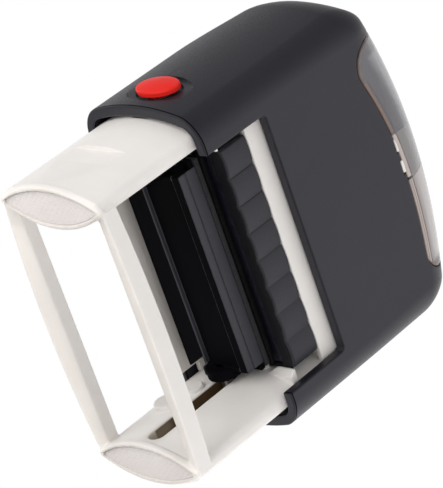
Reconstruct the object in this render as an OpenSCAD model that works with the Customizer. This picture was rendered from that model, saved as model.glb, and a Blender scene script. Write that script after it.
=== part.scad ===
// Self-inking stamp for a 48 x 18 mm text plate, free-standing on its two feet.
// X is the long way, -Y is the front with the ink cartridge, +Z is up.
// The origin is on the surface that the feet stand on, under the middle of the stamp.

/* [Base frame] */
// Half distance between the middles of the two feet
foot_x = 29.75; // [29.6:0.05:30.2]
// Clear width between the inner faces of the two side walls, at their fullest
bay_w = 50.9; // [50.8:0.1:51.2]
// Depth of the side walls, front to back
wall_d = 28.4; // [27.6:0.1:28.6]
// Furthest point of the crowned side wall from the middle
wall_reach = 34.3; // [34:0.1:34.3]
// Height of the top of the base frame
base_top = 50; // [46:0.5:51]
// Height of the top of the two cross rails
bar_h = 4.35; // [3.6:0.05:4.5]
// Width of the guide slot for the platen pin
slot_w = 3.8; // [3.6:0.05:4]

/* [Outer case] */
// Half length of the case at its crowned ends
case_x = 37.2; // [37.2:0.1:38.5]
// Half depth of the case
case_y = 16.9; // [16.9:0.1:18]
// Height of the case's bottom rim at rest
case_z0 = 27.05; // [27:0.05:28]
// Wall thickness of the case
case_t = 2.3; // [2:0.05:2.3]
// Half width of the front opening
notch_x = 27.3; // [27.3:0.1:28.5]
// Height of the top edge of the front opening
notch_z = 44.3; // [42:0.1:45]

/* [Text plate and platen] */
// Length of the text plate
plate_l = 48; // [40:0.5:48]
// Depth of the text plate
plate_d = 18; // [14:0.5:18]
// How far the printing face stands from the platen's axis
face_h = 6.5; // [6.2:0.05:6.5]
// Radius of the platen's pivot pins
pin_r = 1.6; // [1.3:0.05:1.6]

/* [Motion] */
// How far the case goes down
press_travel = 20; // [16:0.5:20]
// How far a lock button goes in
lock_travel = 0.5; // [0.3:0.1:0.5]

/* [Lock buttons] */
// Half width of the oval button cap, front to back
button_r = 5.5; // [5.3:0.05:5.6]
// Height of the button cap as a share of its width
button_oval = 0.65; // [0.64:0.01:0.8]
// Height of the buttons' centre line
button_z = 34.75; // [34:0.05:36]

/* [Springs] */
// Outer radius of the two return springs
spring_r = 4; // [3.6:0.1:4.4]
// Wire diameter of the return springs
spring_wire = 0.8; // [0.6:0.05:0.9]
// Working coils of a return spring
spring_turns = 7; // [5:1:8]

/* [Hidden] */
$fn = 64;
e = 0.01;

wy = wall_d / 2;
bx = bay_w / 2;
// the platen's axis, over the middle of the feet
ax_y = 0;
ax_z = press_travel + face_h;
// the crowned outer and inner faces of a side wall
wall_R = 34;
wall_r = 33;
// cavity in a side wall for the yoke's arm
cav_x0 = 28.6;
cav_x1 = 31.9;
cav_y = 4.4;
cav_z = 2.6;
// flat on the outer face that the lock pegs stand over, and its top edge
flat_x = 33.5;
flat_z = 16.15;
// where the walls are cut back beside the ink cartridge
tray_gap_x = 26.2;
// deck over the ink cartridge
deck_z = 41.2;
deck_t = 2;
// arms of the yoke
arm_x0 = 29.1;
arm_x1 = 31.3;
bridge_z = 72;
bridge_t = 2;
spring_x = 17;
stake_x = 8;
// ink cartridge
tray_z0 = ax_z + face_h + 0.15;
tray_z1 = 39.5;
felt_z = ax_z + face_h + 0.6;
grip_y = -14.35;
// radius and centre of the case's upper roundings
top_r = 8;
top_x = 28;

// ---- shared shapes ----

module both() { children(); mirror([1, 0, 0]) children(); }

// a lens between an inner arc and an outer arc, for the feet; a is added all round
module lens(a, h) {
    tip = 13.54 + a * 1.15;
    si = 3.87 + a - (a > 0 ? 0.1 : 0);
    so = 3.41 + a - (a > 0 ? 0.1 : 0);
    ri = (tip * tip + si * si) / (2 * si);
    ro = (tip * tip + so * so) / (2 * so);
    linear_extrude(h) intersection() {
        translate([foot_x - si + ri, 0]) circle(ri, $fn = 180);
        translate([foot_x + so - ro, 0]) circle(ro, $fn = 180);
    }
}

// the outline of a side wall seen from above, crowned on both faces
module wall_plan(reach, depth) {
    intersection() {
        translate([reach - wall_R, 0]) circle(wall_R, $fn = 240);
        translate([bx + wall_r, 0]) circle(wall_r, $fn = 240);
        translate([bx - 1, -depth]) square([12, 2 * depth]);
    }
}

// a slot with round ends, through the wall along X
module slot_x(x0, x1, y, za, zb, w) {
    translate([x0, y, za]) rotate([0, 90, 0]) cylinder(r = w / 2, h = x1 - x0);
    translate([x0, y, zb]) rotate([0, 90, 0]) cylinder(r = w / 2, h = x1 - x0);
    translate([x0, y - w / 2, za]) cube([x1 - x0, w, zb - za]);
}

// the case's outer surface, moved inwards by o
module case_body(o) {
    hull() {
        for (sx = [-1, 1]) {
            for (sy = [-1, 1]) translate([sx * (case_x - 6.2), sy * (case_y - 4.6), case_z0])
                cylinder(r = 4.6 - o, h = 29.5, $fn = 32);
            translate([sx * (case_x - 12), 0, case_z0]) cylinder(r = 12 - o, h = 25, $fn = 32);
            // front edge of the roof
            translate([sx * (top_x + 1), 6 - case_y, 74.6]) sphere(r = 6 - o, $fn = 32);
            translate([sx * 15, top_r - case_y, 75.9]) sphere(r = top_r - o, $fn = 32);
            translate([sx * (top_x + 1), 0, 73.2]) sphere(r = top_r - o, $fn = 32);
            // the roof falls away at the back, with rounder corners
            translate([sx * 26.6, case_y - 10, 70.9]) sphere(r = 10 - o, $fn = 32);
            translate([sx * 13, case_y - 10, 73.1]) sphere(r = 10 - o, $fn = 32);
        }
        translate([0, top_r - case_y, 76.9]) sphere(r = top_r - o, $fn = 32);
        translate([0, case_y - 10, 73.8]) sphere(r = 10 - o, $fn = 32);
        translate([0, 0, 77.2]) sphere(r = top_r - o, $fn = 32);
    }
}

// the lower edge of the index window, seen from the front
function win_z(x) = x < 4 ? 75.3 - 0.0070 * (x - 4) * (x - 4) : 75.3 - 0.0045 * (x - 4) * (x - 4);
module window_zone(g) {
    translate([0, 30, 0]) rotate([90, 0, 0]) linear_extrude(60) {
        polygon(concat(
            [[-27.6 + g, 95], [-27.6 + g, 78.4]],
            [for (a = [0 : 15 : 90]) [-21.6 - (6 - g) * cos(a), 76.6 - (5.7 - g) * sin(a)]],
            [for (x = [-19 : 2 : 21]) [x, win_z(x) + g]],
            [for (a = [90 : -15 : 0]) [22.6 + (4.2 - g) * cos(a), 78 - (4.2 - g) * sin(a)]],
            [[26.8 - g, 95]]));
    }
}

// ---- base ----

module base_frame() color([0.87, 0.86, 0.84]) difference() {
    union() {
        both() {
            // foot with its rim
            translate([0, 0, 0]) lens(0.95, 0.45);
            translate([0, 0, 0.45]) lens(1.2, 1.05);
            // side wall
            translate([0, 0, 1]) linear_extrude(base_top - 1) wall_plan(wall_reach, wy);
            // flip cams on the inner face
            translate([24.7, 6.8, 14.6]) rotate([0, 90, 0]) cylinder(r = 2.7, h = 2);
            translate([24.7, 4.9, 20.6]) rotate([0, 90, 0]) cylinder(r = 2.4, h = 2);
            // ledge that carries the end of the ink cartridge
            translate([25.3, -6, tray_z0 - 1.6]) cube([2.6, 18, 1.55]);
            // catch under the front corner of the cartridge
            intersection() {
                translate([0, -7, 0]) rotate([90, 0, 0]) linear_extrude(6.8)
                    polygon([[25.2, 32.8], [25.2, 32.4], [26.4, 31.2], [29, 31.2], [29, 32.8]]);
                linear_extrude(50)
                    polygon([[25.2, -13.8], [25.2, -9.2], [26.3, -7], [29, -7], [29, -13.8]]);
            }
        }
        // cross rails, front and back, straight inside and bowed outside
        for (s = [0, 1]) mirror([0, s, 0]) intersection() {
            translate([0, 16.45 - 283, -1]) cylinder(r = 283, h = 10, $fn = 1800);
            translate([-29.4, 0, 0]) rotate([90, 0, 90]) linear_extrude(58.8)
                polygon([[12, 1.35], [17, 0], [17, bar_h], [12, bar_h]]);
        }
        // deck over the cartridge, with the seats of the return springs
        translate([-28.6, -wy + 0.1, deck_z]) cube([57.2, wall_d - 0.2, deck_t]);
        both() translate([spring_x, ax_y, deck_z + deck_t - e]) cylinder(r = 2.5, h = 4.5);
        // front and back walls of the upper frame
        translate([-28.6, -wy, 40.15]) cube([57.2, 1.4, base_top - 40.15]);
        translate([-28.6, wy - 1.1, 30.3]) cube([57.2, 1.1, base_top - 30.3]);
        translate([-26.2, wy - 1.1, 23.4]) cube([52.4, 1.1, 8]);
    }
    both() {
        // recess under the foot for the grip pad
        translate([0, 0, -1]) lens(0, 2.5);
        // hollow of the side wall, open at the top
        translate([cav_x0, ax_y - cav_y, cav_z]) cube([cav_x1 - cav_x0, 2 * cav_y, base_top]);
        // guide slot for the platen's pin
        slot_x(bx - 1, cav_x0 + 1, ax_y, 5, ax_z + 0.1, slot_w);
        // room for the cartridge above its ledge
        translate([bx - 1, -wy - 1, tray_z0 - 0.05]) cube([tray_gap_x - bx + 1, wall_d - 0.1, 40.1 - tray_z0 + 0.05]);
        // corners taken off inside the narrowing top of the case
        for (s = [0, 1]) mirror([0, s, 0]) translate([0, 0, 36]) linear_extrude(20)
            polygon([[27.2, 14.7], [31.9, 11], [34, 11], [34, 14.7]]);
        // shallow flat on the outer face, which takes the lock peg when the case is down
        translate([flat_x, -10, 4]) cube([3, 20, flat_z - 4]);
        // pocket for the lock peg while the cartridge is changed
        translate([33.1, -2.2, 27.8]) cube([3, 4.4, 9.6]);
    }
}

module foot_pad() color([0.83, 0.82, 0.80]) difference() {
    translate([0, 0, 0.3]) lens(-0.05, 1.2);
    // crossed grooves
    for (s = [-1, 1]) for (k = [-10 : 10])
        translate([foot_x, 0, 0.3]) rotate([0, 0, s * 40]) translate([k * 1.5, 0, 0])
            cube([0.35, 40, 0.3], center = true);
}

// ---- ink cartridge ----

module ink_tray() color([0.26, 0.26, 0.28]) difference() {
    union() {
        translate([-25.9, -12.4, tray_z0]) cube([51.8, 25.3, tray_z1 - tray_z0]);
        // grip with eight lobes
        translate([0, 0, tray_z0 - 0.3]) linear_extrude(7.2) {
            translate([-25, -13.95]) square([50, 1.6]);
            intersection() {
                for (k = [0 : 7]) translate([-25 + 6.25 * (k + 0.5), grip_y + 11.2]) circle(11.2, $fn = 120);
                translate([-25, grip_y - 1]) square([50, 2.4]);
            }
        }
        // lower lip behind the grip
        translate([-25, -13.9, tray_z0 - 0.3]) cube([50, 3.4, 1.2]);
    }
    // well for the felt
    translate([-25.05, -10.35, tray_z0 - 1]) cube([50.1, 20.7, 6.1]);
}

module ink_felt() color([0.1, 0.1, 0.13])
    translate([-25, -10.3, felt_z]) cube([50, 20.6, tray_z0 + 5.1 - felt_z]);

// ---- platen, drawn about its axis with the printing face up ----

module at_axis() { translate([0, ax_y, ax_z]) children(); }

module platen() color([0.11, 0.11, 0.12]) at_axis() difference() {
    union() {
        // block with a straight nose at the front and a lower rim at the back
        translate([-22.8, -8.3, -1.1]) cube([45.6, 12.8, 5]);
        // rear rim with its ends cut back at an angle
        translate([0, 0, -1.1]) linear_extrude(3.3)
            polygon([[-20.4, 4.2], [20.4, 4.2], [23.6, 9.6], [-23.6, 9.6]]);
        translate([-22.8, 4.2, 2.1]) cube([45.6, 5.4, 1.8]);
        // plate that carries the ends of the cushion
        translate([-24.4, -8, 2.6]) cube([48.8, 17, 1.3]);
        // end cheeks with their hubs
        both() {
            translate([22.7, 0, 0]) rotate([0, 90, 0]) cylinder(r = 3.9, h = 1.7);
            translate([22.7, -3.9, 0]) cube([1.7, 8.1, 2.7]);
            translate([22.7, 0, -2.4]) cube([1.7, 4.2, 3]);
            translate([22.7, -6.4, 0.2]) cube([1.3, 10.6, 2.5]);
        }
    }
    // shallow recess along the underside
    translate([-21.8, -6.4, -2]) cube([43.6, 11.2, 1.7]);
    // two fine grooves along the nose
    for (z = [-0.4, 0.5]) translate([-23, -8.4, z - 0.1]) cube([46, 0.3, 0.2]);
    both() translate([22, 0, 0]) rotate([0, 90, 0]) cylinder(r = pin_r, h = 6);
}

module plate_cushion() color([0.2, 0.2, 0.2]) at_axis()
    translate([-plate_l / 2, -plate_d / 2 + 0.7, 3.9]) cube([plate_l, plate_d - 1.4, 1.2]);

module text_plate() color([0.35, 0.17, 0.15]) at_axis()
    translate([-plate_l / 2, -plate_d / 2, 5.1]) cube([plate_l, plate_d, face_h - 5.1]);

module platen_pin() color([0.7, 0.7, 0.72]) at_axis()
    translate([23.4, 0, 0]) rotate([0, 90, 0]) {
        cylinder(r = pin_r, h = arm_x1 - 23.4 - 0.3);
        translate([0, 0, arm_x1 - 23.4 - 0.3]) cylinder(r1 = pin_r, r2 = pin_r - 0.3, h = 0.3);
    }

// ---- drive yoke and springs ----

module drive_yoke() color([0.85, 0.85, 0.83]) difference() {
    union() {
        both() {
            translate([arm_x0, ax_y - 3.5, ax_z]) cube([arm_x1 - arm_x0, 7, bridge_z + bridge_t - ax_z]);
            translate([arm_x0, ax_y, ax_z]) rotate([0, 90, 0]) cylinder(r = 3.5, h = arm_x1 - arm_x0);
            translate([spring_x, ax_y, bridge_z - 4]) cylinder(r = 2.5, h = 4.1);
        }
        translate([-arm_x1, ax_y - 5, bridge_z]) cube([2 * arm_x1, 10, bridge_t]);
    }
    both() {
        translate([arm_x0 - 1, ax_y, ax_z]) rotate([0, 90, 0]) cylinder(r = pin_r + 0.06, h = 5);
        translate([stake_x, ax_y, bridge_z - 1]) cylinder(r = 1.5, h = 5);
    }
}

// a coil of round wire with closed ends, from z0 up by h
module coil(z0, h, R, w, turns) {
    n = 16;
    steps = turns * n;
    sides = 8;
    r = w / 2;
    function rise(i) = let (t = i / n, d = h - w, lift = (d - w) / (turns - 2))
        t < 1 ? w * t * 0.98 : t > turns - 1 ? d - w * (turns - t) * 0.98 :
        w * 0.98 + (d - 2 * w * 0.98) * (t - 1) / (turns - 2);
    pts = [for (i = [0 : steps]) for (k = [0 : sides - 1])
        let (a = i * 360 / n, b = k * 360 / sides, q = R - r + r * cos(b))
        [q * cos(a), q * sin(a), z0 + r + rise(i) + r * sin(b)]];
    walls = [for (i = [0 : steps - 1]) for (k = [0 : sides - 1])
        let (m = (k + 1) % sides)
        [i * sides + k, i * sides + m, (i + 1) * sides + m, (i + 1) * sides + k]];
    polyhedron(pts, concat(walls, [[for (k = [sides - 1 : -1 : 0]) k]],
        [[for (k = [0 : sides - 1]) steps * sides + k]]), convexity = 10);
}

module return_spring(s) color([0.75, 0.76, 0.78]) translate([s * spring_x, ax_y, 0])
    coil(deck_z + deck_t, bridge_z - deck_z - deck_t, spring_r, spring_wire, spring_turns);

// ---- case ----

module case_shell() color([0.24, 0.24, 0.26]) difference() {
    union() {
        difference() { case_body(0); window_zone(0); }
        case_body(2);
    }
    // inside of the shell, with a thicker roof
    translate([0, 0, -1.6]) case_body(case_t);
    // front opening
    translate([0, -5, 0]) rotate([90, 0, 0]) linear_extrude(20) {
        translate([-notch_x, case_z0 - 5]) square([2 * notch_x, notch_z - case_z0 + 4]);
        translate([-notch_x + 1, case_z0 - 5]) square([2 * notch_x - 2, notch_z - case_z0 + 5]);
        for (s = [-1, 1]) translate([s * (notch_x - 1), notch_z - 1]) circle(1);
    }
    // seats of the lock buttons
    both() translate([0, 0, button_z]) rotate([0, 90, 0]) {
        translate([0, 0, case_x - 0.6]) scale([0.6, 1, 1]) cylinder(r = 8.2, h = 5);
        translate([0, 0, case_x - 1.25]) scale([button_oval, 1, 1]) cylinder(r = button_r + 0.24, h = 5);
        translate([0, 0, 30]) cylinder(r = 2.4, h = 10);
        translate([0, 0, 30]) cylinder(r = 3.5, h = case_x - 1.85 - 30);
    }
}
// posts under the roof that are staked into the yoke
module case_posts() {
    both() {
        translate([stake_x, ax_y, bridge_z + bridge_t]) cylinder(r = 2.6, h = 8.2);
        translate([stake_x, ax_y, bridge_z - 0.8]) cylinder(r = 1.5, h = 4);
        translate([stake_x, ax_y, bridge_z - 0.8]) cylinder(r = 2.1, h = 0.8);
    }
}

module index_card() color([0.95, 0.95, 0.93]) intersection() {
    difference() { case_body(1.35); case_body(1.75); }
    translate([0, 30, 0]) rotate([90, 0, 0]) linear_extrude(60)
        polygon([[-25, 90], [-25, 77.4], [25, 77.4], [25, 90]]);
}

module index_window() color([0.45, 0.40, 0.36, 0.6]) difference() {
    intersection() { case_body(0); window_zone(0.12); }
    case_body(1.2);
}

// ---- lock buttons, drawn for the right end ----

module lock_button() color([0.85, 0.13, 0.12]) translate([0, 0, button_z]) rotate([0, 90, 0]) {
    difference() {
        // oval cap with a shallow dome
        scale([button_oval, 1, 1]) rotate_extrude($fn = 96) difference() {
            union() {
                translate([0, case_x - 0.3]) square([button_r, 0.95]);
                translate([0, case_x + 0.6]) square([button_r - 0.3, 0.35]);
                translate([button_r - 0.3, case_x + 0.65]) circle(0.3, $fn = 24);
                intersection() {
                    translate([0, case_x + 1.4 - 26]) circle(26, $fn = 240);
                    translate([0, case_x]) square([button_r - 0.15, 2]);
                }
            }
            translate([-10, 0]) square([10, 60]);
        }
        // ring groove under the cap for the spring
        translate([0, 0, case_x - 1]) difference() {
            cylinder(r = 3.15, h = 1);
            translate([0, 0, -1]) cylinder(r = 2.2, h = 3);
        }
    }
    // neck, retaining flange and lock peg
    rotate_extrude($fn = 96) {
        translate([0, case_x - 2.2]) square([2.2, 2.3]);
        translate([0, case_x - 2.27]) square([3.1, 0.37]);
        translate([0, case_x - 2.7]) square([1.2, 0.6]);
    }
}

module button_spring() color([0.78, 0.78, 0.8]) translate([0, 0, button_z]) rotate([0, 90, 0])
    translate([0, 0, case_x - 1.25]) difference() {
        cylinder(r = 3.05, h = 0.25);
        translate([0, 0, -1]) cylinder(r = 2.4, h = 3);
    }

base_frame();
mirror([1, 0, 0]) foot_pad();  // foot_pad_left
foot_pad();  // foot_pad_right
ink_tray();
ink_felt();
platen();
plate_cushion();
text_plate();
mirror([1, 0, 0]) platen_pin();  // platen_pin_left
platen_pin();  // platen_pin_right
drive_yoke();
return_spring(-1);  // return_spring_left
return_spring(1);  // return_spring_right
union() { case_shell(); case_posts(); }
index_card();
index_window();
mirror([1, 0, 0]) lock_button();  // lock_button_left
lock_button();  // lock_button_right
mirror([1, 0, 0]) button_spring();  // button_spring_left
button_spring();  // button_spring_right
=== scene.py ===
import bpy, math
import numpy as np
from mathutils import Matrix, Vector


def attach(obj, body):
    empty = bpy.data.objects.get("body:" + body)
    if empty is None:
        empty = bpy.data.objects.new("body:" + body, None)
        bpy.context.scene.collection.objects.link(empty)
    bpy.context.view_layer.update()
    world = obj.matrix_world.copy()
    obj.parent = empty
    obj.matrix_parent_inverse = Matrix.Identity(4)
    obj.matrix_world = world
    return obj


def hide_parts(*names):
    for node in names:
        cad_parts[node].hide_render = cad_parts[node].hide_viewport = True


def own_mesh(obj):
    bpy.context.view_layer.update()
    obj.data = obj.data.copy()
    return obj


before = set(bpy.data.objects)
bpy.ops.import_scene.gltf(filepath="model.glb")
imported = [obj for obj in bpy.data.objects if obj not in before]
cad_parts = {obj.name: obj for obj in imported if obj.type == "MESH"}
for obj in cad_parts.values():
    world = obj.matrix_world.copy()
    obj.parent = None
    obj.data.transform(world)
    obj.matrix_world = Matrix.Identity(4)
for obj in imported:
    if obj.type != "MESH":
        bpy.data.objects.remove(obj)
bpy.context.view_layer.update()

MM = 0.001

# ---------------------------------------------------------------- camera
# solved from the outlines of the feet, the front opening and the case rim
cam_data = bpy.data.cameras.new("camera")
cam = bpy.data.objects.new("camera", cam_data)
bpy.context.collection.objects.link(cam)
cam_data.sensor_width = 36.0
cam_data.lens = 200.41
cam_data.shift_x = -0.0015
cam_data.shift_y = 0.0018
cam_data.clip_start = 0.01
cam_data.clip_end = 20.0
cam.matrix_world = Matrix(((0.30657, -0.85927, -0.40948, -0.226129),
                           (-0.68604, 0.09874, -0.72083, -0.397797),
                           (0.65981, 0.50191, -0.55923, -0.272025),
                           (0, 0, 0, 1)))
bpy.context.scene.camera = cam
bpy.context.scene.view_settings.view_transform = "Standard"
bpy.context.scene.view_settings.look = "None"

# ---------------------------------------------------------------- dimensions, millimetres, as in the CAD
FOOT_X, BX, WY = 29.75, 25.45, 14.2
REACH, WALL_R, WALL_I = 34.3, 34.0, 33.0
BASE_TOP, BAR_H = 50.0, 4.35
CX, CY, CZ0, CT = 37.2, 16.9, 27.05, 2.3
NX, NZ = 27.3, 44.3
AY, AZ, FACE = 0.0, 26.5, 6.5
CAVX0, CAVX1, CAVY, CAVZ = 28.6, 31.9, 4.4, 2.6
FLAT_X, FLAT_Z = 33.5, 16.15
TRAY_GAP = 26.2
DECK_Z, DECK_T = 41.2, 2.0
TRAY0, TRAY1 = 33.15, 39.5
FELT = 33.6
GRIP_Y = -14.35
BTN_Z, BTN_R, BTN_K = 34.75, 5.5, 0.65
TOP_R = 7.9
ARM0, ARM1 = 29.1, 31.3
BRIDGE_Z, BRIDGE_T = 72.0, 2.0
SPRING_X, STAKE_X = 17.0, 8.0


# ---------------------------------------------------------------- signed distance shapes (millimetres)
def rbox(p, c, b, r=0.0):
    q = np.abs(p - np.asarray(c, float)) - (np.asarray(b, float) - r)
    return np.linalg.norm(np.maximum(q, 0), axis=-1) + np.minimum(q.max(-1), 0) - r


def box(p, lo, hi, r=0.0):
    lo = np.asarray(lo, float); hi = np.asarray(hi, float)
    return rbox(p, (lo + hi) / 2, (hi - lo) / 2, r)


def cyl(p, c, axis, rad, lo, hi, r=0.0):
    o = [k for k in range(3) if k != axis]
    d = np.hypot(p[:, o[0]] - c[0], p[:, o[1]] - c[1]) - (rad - r)
    h = np.abs(p[:, axis] - (lo + hi) / 2) - ((hi - lo) / 2 - r)
    return np.hypot(np.maximum(d, 0), np.maximum(h, 0)) + np.minimum(np.maximum(d, h), 0) - r


def uni(*a):
    out = a[0]
    for x in a[1:]:
        out = np.minimum(out, x)
    return out


def su(a, b, k):
    h = np.maximum(k - np.abs(a - b), 0) / k
    return np.minimum(a, b) - h * h * k * 0.25


def si(a, b, k):
    return -su(-a, -b, k)


def cut(a, b, k=0.0):
    return si(a, -b, k) if k else np.maximum(a, -b)


def ri(a, b, r):
    """rounded intersection"""
    return np.minimum(-r, np.maximum(a, b)) + np.hypot(np.maximum(a + r, 0), np.maximum(b + r, 0))


def rc(a, b, r):
    """a without b, with a rounded edge"""
    return ri(a, -b, r)


def poly(u, v, pts):
    """signed distance to a closed polygon in the u, v plane"""
    pts = np.asarray(pts, float)
    d = np.full(u.shape, 1e9)
    s = np.ones(u.shape)
    n = len(pts)
    for i in range(n):
        a, b = pts[i], pts[(i + 1) % n]
        e = b - a
        wx, wy = u - a[0], v - a[1]
        t = np.clip((wx * e[0] + wy * e[1]) / max(e @ e, 1e-12), 0, 1)
        d = np.minimum(d, (wx - e[0] * t) ** 2 + (wy - e[1] * t) ** 2)
        c1 = v >= a[1]; c2 = v < b[1]; c3 = e[0] * wy > e[1] * wx
        s = np.where((c1 & c2 & c3) | (~c1 & ~c2 & ~c3), -s, s)
    return s * np.sqrt(d)


def both(p):
    q = p.copy(); q[:, 0] = np.abs(q[:, 0])
    return q


# ---------------------------------------------------------------- mesher
def surface_nets(F, org, h):
    S = F < 0
    nx, ny, nz = F.shape
    c = np.zeros((nx - 1, ny - 1, nz - 1), np.uint8)
    for dx in (0, 1):
        for dy in (0, 1):
            for dz in (0, 1):
                c += S[dx:nx - 1 + dx, dy:ny - 1 + dy, dz:nz - 1 + dz]
    act = (c > 0) & (c < 8)
    idx = np.full(act.shape, -1, np.int64)
    I = np.argwhere(act)
    idx[act] = np.arange(len(I))
    P = np.zeros((len(I), 3)); N = np.zeros(len(I))
    for a in ((0, 0, 0), (1, 0, 0), (0, 1, 0), (1, 1, 0), (0, 0, 1), (1, 0, 1), (0, 1, 1), (1, 1, 1)):
        fa = F[I[:, 0] + a[0], I[:, 1] + a[1], I[:, 2] + a[2]]
        for ax in range(3):
            if a[ax] == 0:
                b = list(a); b[ax] = 1
                fb = F[I[:, 0] + b[0], I[:, 1] + b[1], I[:, 2] + b[2]]
                m = (fa < 0) != (fb < 0)
                t = np.where(m, fa / np.where(m, fa - fb, 1), 0)
                for k in range(3):
                    P[:, k] += np.where(m, a[k] + (t if k == ax else 0), 0)
                N += m
    P = P / N[:, None] + I
    quads = []
    for ax in range(3):
        s0 = [slice(None)] * 3; s1 = [slice(None)] * 3
        s0[ax] = slice(0, -1); s1[ax] = slice(1, None)
        A = S[tuple(s0)]; e = A != S[tuple(s1)]
        o1, o2 = [k for k in range(3) if k != ax]
        for o in (o1, o2):
            for end in (0, -1):
                s = [slice(None)] * 3; s[o] = end
                e[tuple(s)] = False
        E = np.argwhere(e)
        if not len(E):
            continue

        def at(d1, d2):
            q = E.copy(); q[:, o1] -= d1; q[:, o2] -= d2
            return idx[q[:, 0], q[:, 1], q[:, 2]]
        q = np.stack([at(1, 1), at(0, 1), at(0, 0), at(1, 0)], 1)
        inside = A[E[:, 0], E[:, 1], E[:, 2]]
        flip = inside if ax != 1 else ~inside
        q[~flip] = q[~flip][:, ::-1]
        quads.append(q)
    return P * h + org, np.concatenate(quads)


def sample(f, lo, hi, h, B=8):
    lo = np.asarray(lo, float); hi = np.asarray(hi, float)
    nb = np.maximum(1, np.ceil((hi - lo) / (h * B)).astype(int))
    n = nb * B
    F = np.empty(tuple(n), np.float32)
    cb = np.stack(np.meshgrid(*[np.arange(k) for k in nb], indexing="ij"), -1).reshape(-1, 3)
    centre = lo + (cb * B + (B - 1) / 2) * h
    fc = f(centre)
    near = np.abs(fc) < B * h * 0.9 + 0.6
    V = F.reshape(nb[0], B, nb[1], B, nb[2], B)
    V[:] = fc.reshape(nb[0], 1, nb[1], 1, nb[2], 1)
    off = np.stack(np.meshgrid(*[np.arange(B)] * 3, indexing="ij"), -1).reshape(-1, 3)
    keep = cb[near]
    for i in range(0, len(keep), 400):
        k = keep[i:i + 400]
        p = (lo + (k[:, None] * B + off[None]) * h).reshape(-1, 3)
        v = f(p).reshape(len(k), B, B, B)
        for j, (x, y, z) in enumerate(k):
            V[x, :, y, :, z, :] = v[j]
    return F, lo


def grad(f, p, e):
    g = np.empty_like(p)
    for k in range(3):
        d = np.zeros(3); d[k] = e
        g[:, k] = f(p + d) - f(p - d)
    return g / (2 * e)


def settle(f, v, h, steps=3):
    for _ in range(steps):
        d = f(v); g = grad(f, v, 0.02)
        n2 = np.maximum((g * g).sum(1), 0.2)
        m = np.clip(d / n2, -0.5 * h, 0.5 * h)
        v = v - g * m[:, None]
    return v


def new_mesh(name, v, faces):
    me = bpy.data.meshes.new(name)
    faces = np.asarray(faces)
    me.vertices.add(len(v)); me.vertices.foreach_set("co", (np.asarray(v) * MM).ravel())
    n, k = faces.shape
    me.loops.add(n * k); me.loops.foreach_set("vertex_index", faces.astype(np.int32).ravel())
    me.polygons.add(n)
    me.polygons.foreach_set("loop_start", np.arange(0, n * k, k, dtype=np.int32))
    me.update(calc_edges=True); me.validate()
    return me


def add(name, me, body, replaces=(), mat=None):
    o = bpy.data.objects.new(name, me)
    bpy.context.collection.objects.link(o)
    if mat:
        me.materials.append(mat)
    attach(o, body)
    if replaces:
        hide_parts(*replaces)
    return o


def coords(me):
    v = np.empty(len(me.vertices) * 3, np.float32)
    me.vertices.foreach_get("co", v)
    return v.reshape(-1, 3).astype(float) / MM


def solid(name, f, lo, hi, h, keep=0.35, nrm=0.06):
    """a closed mesh of f < 0, thinned where it is flat, with normals taken from f itself"""
    F, org = sample(f, np.asarray(lo, float) - 2 * h, np.asarray(hi, float) + 2 * h, h)
    v, q = surface_nets(F, org, h)
    v = settle(f, v, h)
    me = new_mesh(name, v, q)
    if keep < 1 and len(q) > 4000:
        t = bpy.data.objects.new("t", me)
        bpy.context.collection.objects.link(t)
        m = t.modifiers.new("d", "DECIMATE"); m.ratio = keep * 1
        dg = bpy.context.evaluated_depsgraph_get()
        me2 = bpy.data.meshes.new_from_object(t.evaluated_get(dg), depsgraph=dg)
        bpy.data.objects.remove(t); bpy.data.meshes.remove(me)
        me = me2; me.name = name
        v = settle(f, coords(me), h, 2)
        me.vertices.foreach_set("co", (v * MM).astype(np.float32).ravel())
        me.update()
    v = coords(me)
    g = grad(f, v, nrm)
    g /= np.maximum(np.linalg.norm(g, axis=1), 1e-6)[:, None]
    me.polygons.foreach_set("use_smooth", np.ones(len(me.polygons), bool))
    me.normals_split_custom_set_from_vertices(g)
    me.validate()
    print(f"{name}: {len(me.vertices)} vertices, {len(me.polygons)} faces")
    return me


# ---------------------------------------------------------------- shapes
def lens(p, a):
    """signed distance in plan to the foot's lens outline, grown by a, with blunt tips; p has |x|"""
    tip = 13.54 + a * 1.15 + 0.45
    i = 3.87 + a - (0.1 if a > 0 else 0)
    o = 3.41 + a - (0.1 if a > 0 else 0)
    r1 = (tip * tip + i * i) / (2 * i); r2 = (tip * tip + o * o) / (2 * o)
    d1 = np.hypot(p[:, 0] - (FOOT_X - i + r1), p[:, 1]) - r1
    d2 = np.hypot(p[:, 0] - (FOOT_X + o - r2), p[:, 1]) - r2
    return ri(d1, d2, 1.1)


def slot_x(p, y, za, zb, w):
    dz = p[:, 2] - np.clip(p[:, 2], za, zb)
    return np.hypot(p[:, 1] - y, dz) - w / 2


def case_outer(p, o=0.0):
    """outer face of the case, moved inwards by o: crowned ends, a crowned roof that falls away at the back"""
    ax = np.abs(p[:, 0]); y = p[:, 1]; z = p[:, 2]
    a = np.hypot(ax - (CX - 50.0), y) - 50.0 + o
    b = np.abs(y) - CY + o
    t = np.clip((z - 52) / 22.0, 0, 1)
    rv = 4.6 + (np.where(y > 0, 10.4, 5.2) - 4.6) * t * t * (3 - 2 * t) - o
    ab = ri(a, b, np.maximum(rv, 0.3))
    R = 110.0
    c = np.sqrt(p[:, 0] ** 2 + (z - (85.2 - R)) ** 2) - R + np.where(y > 0, 0.020, 0.002) * y * y + o
    return ri(ab, c, max(TOP_R - o, 0.3))


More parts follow.
